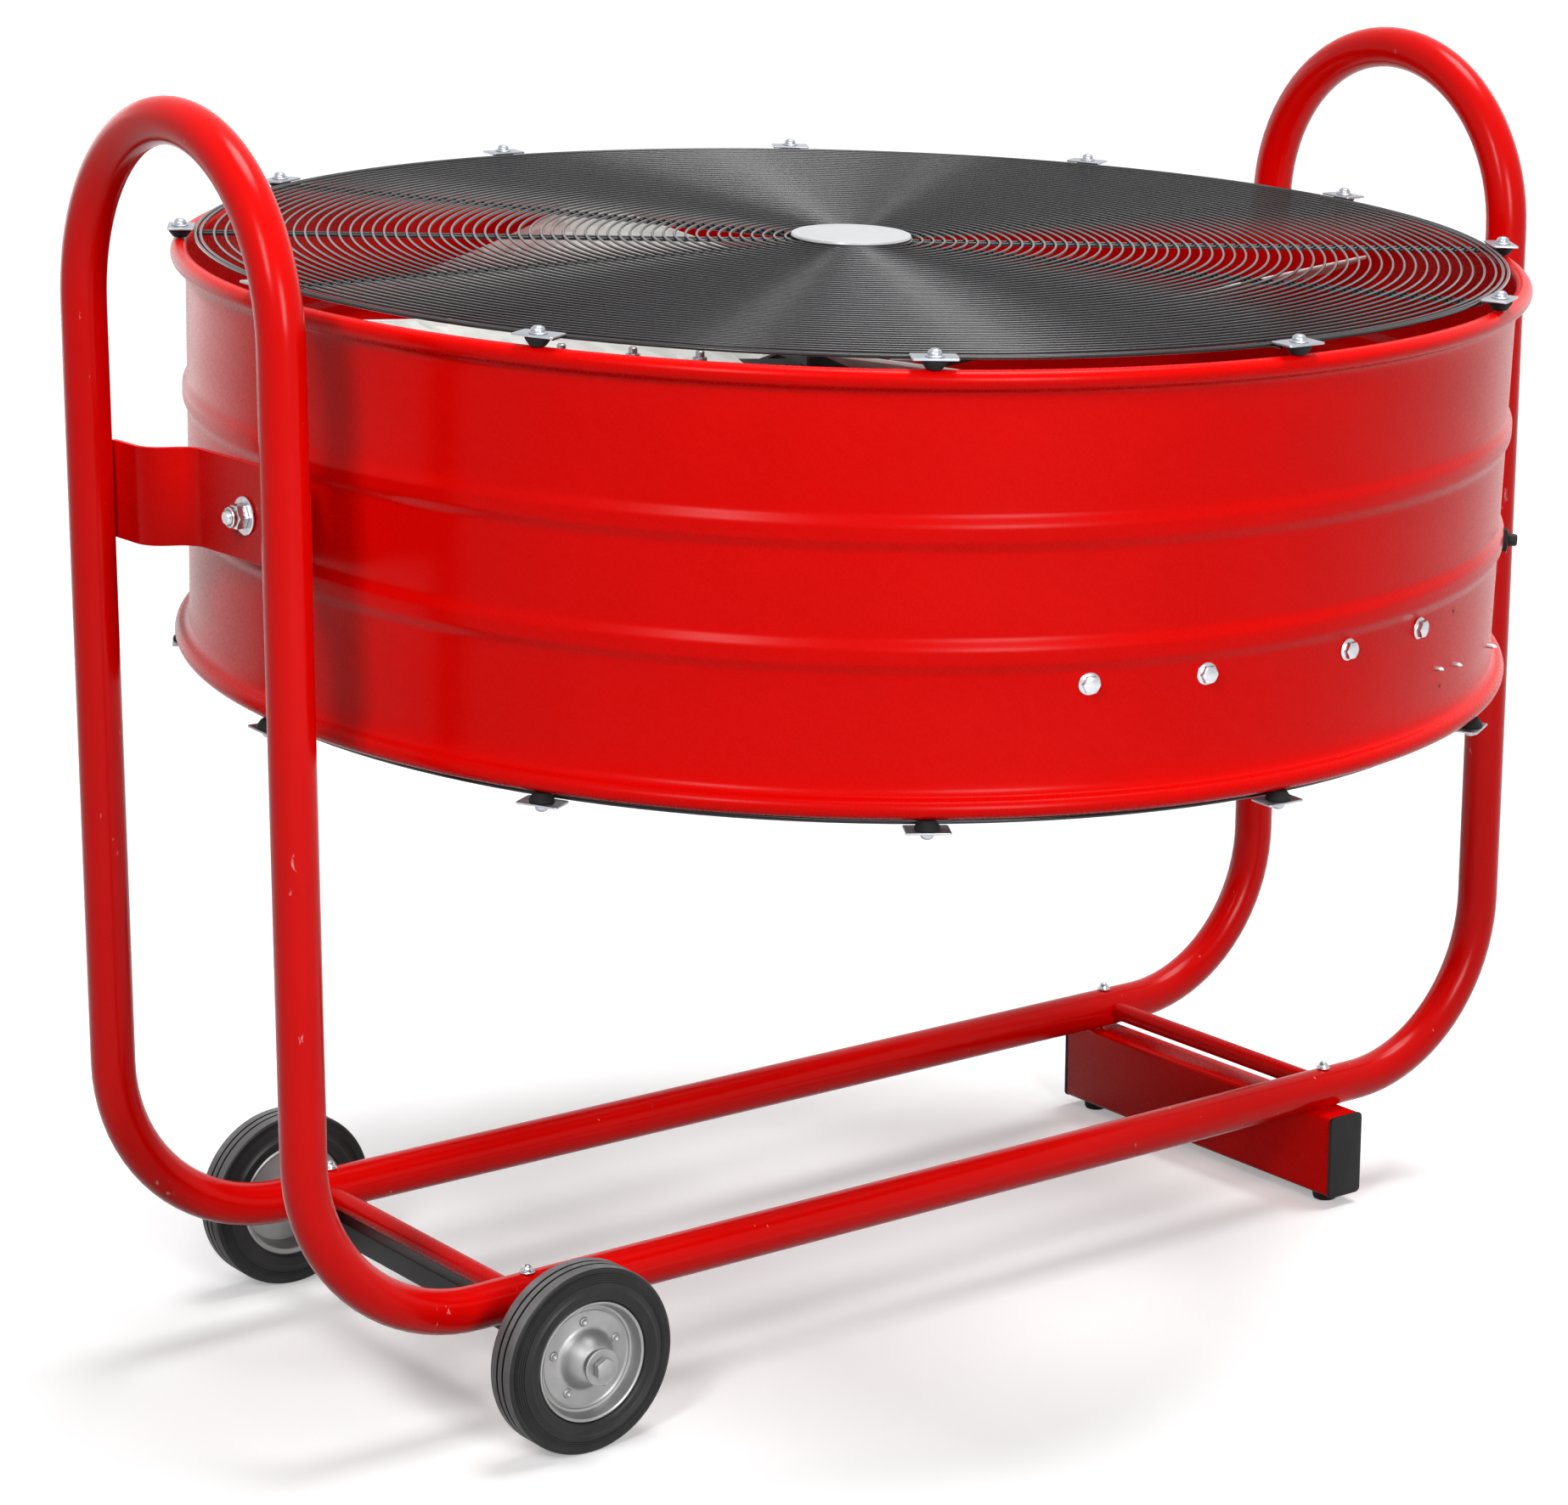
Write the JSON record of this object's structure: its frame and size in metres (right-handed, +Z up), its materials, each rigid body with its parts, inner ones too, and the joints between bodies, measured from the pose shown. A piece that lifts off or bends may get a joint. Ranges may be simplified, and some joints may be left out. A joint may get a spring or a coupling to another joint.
{
  "type": "mobile drum fan",
  "caption": "Wheeled drum fan: ribbed steel drum with wire guards, pivoted between the handle hoops of a tubular sled frame on two wheels.",
  "frame": {"origin": "on the floor, under the middle of the drum's pivot axis", "axes": "+X runs along the rails from the wheels to the foot beam, +Z up, -Y is the side towards which the drum leans at rest"},
  "size_m": [1.362, 1.2031, 1.098],
  "materials": {
    "red_paint": "semi-gloss powder coat",
    "black_paint": "satin black paint",
    "guard_wire": "satin black coated wire, zinc clips",
    "badge_grey": "satin grey, plain",
    "motor_grey": "satin dark grey casting",
    "galvanised": "galvanised sheet",
    "shaft_steel": "turned steel",
    "zinc": "bright zinc plating",
    "tyre_rubber": "matt moulded rubber",
    "foot_rubber": "matt rubber",
    "black_plastic": "moulded matt plastic"
  },
  "bodies": {
    "frame": {"side_tube_front": "red_paint", "side_tube_rear": "red_paint", "handle_hoop_left": "red_paint", "handle_hoop_right": "red_paint", "strap_left": "red_paint", "strap_right": "red_paint", "crossbar_left": "red_paint", "crossbar_right": "red_paint", "axle_bar": "black_paint", "foot_beam": "red_paint", "foot_cap_front": "black_plastic", "foot_cap_rear": "black_plastic", "foot_pad_front": "foot_rubber", "foot_pad_rear": "foot_rubber", "rail_bolt_left_front": "zinc", "rail_bolt_left_rear": "zinc", "rail_bolt_right_front": "zinc", "rail_bolt_right_rear": "zinc", "wheel_bolt_front": "zinc", "wheel_bolt_rear": "zinc", "wheel_washer_front": "zinc", "wheel_washer_rear": "zinc"},
    "wheel_front": {"wheel_tyre_front": "tyre_rubber", "wheel_rim_front": "zinc"},
    "wheel_rear": {"wheel_tyre_rear": "tyre_rubber", "wheel_rim_rear": "zinc"},
    "drum": {"drum_shell": "red_paint", "guard_top": "guard_wire", "guard_bottom": "guard_wire", "guard_disc_top": "badge_grey", "guard_disc_bottom": "badge_grey", "pivot_bolt_left": "zinc", "pivot_bolt_right": "zinc", "pivot_spacer_left": "black_plastic", "pivot_spacer_right": "black_plastic", "pivot_washer_left": "zinc", "pivot_washer_right": "zinc", "pivot_nut_left": "zinc", "pivot_nut_right": "zinc", "motor_strut_left": "red_paint", "motor_strut_right": "red_paint", "motor_plate": "red_paint", "motor_body": "motor_grey", "motor_terminal_box": "black_plastic", "cable_gland": "black_plastic", "mount_bolt_1": "zinc", "mount_bolt_2": "zinc", "mount_bolt_3": "zinc", "mount_bolt_4": "zinc", "mount_bolt_5": "zinc", "mount_bolt_6": "zinc", "mount_bolt_7": "zinc", "mount_bolt_8": "zinc"},
    "rotor": {"motor_shaft": "shaft_steel", "fan_hub": "motor_grey", "fan_blade_1": "galvanised", "fan_blade_2": "galvanised", "fan_blade_3": "galvanised", "fan_blade_4": "galvanised"}
  },
  "joints": [
    {"name": "drum_tilt", "type": "hinge", "parent": "frame", "child": "drum", "pos_m": [0, 0, 0.761], "axis": [1, 0, 0], "range_deg": [-180, 180]},
    {"name": "fan_spin", "type": "hinge", "parent": "drum", "child": "rotor", "pos_m": [0, 0, 0.761], "axis": [0, -0.0436, 0.999], "continuous": true},
    {"name": "wheel_spin_front", "type": "hinge", "parent": "frame", "child": "wheel_front", "pos_m": [-0.452, -0.24, 0.08], "axis": [0, 1, 0], "continuous": true},
    {"name": "wheel_spin_rear", "type": "hinge", "parent": "frame", "child": "wheel_rear", "pos_m": [-0.452, 0.24, 0.08], "axis": [0, 1, 0], "continuous": true}
  ]
}
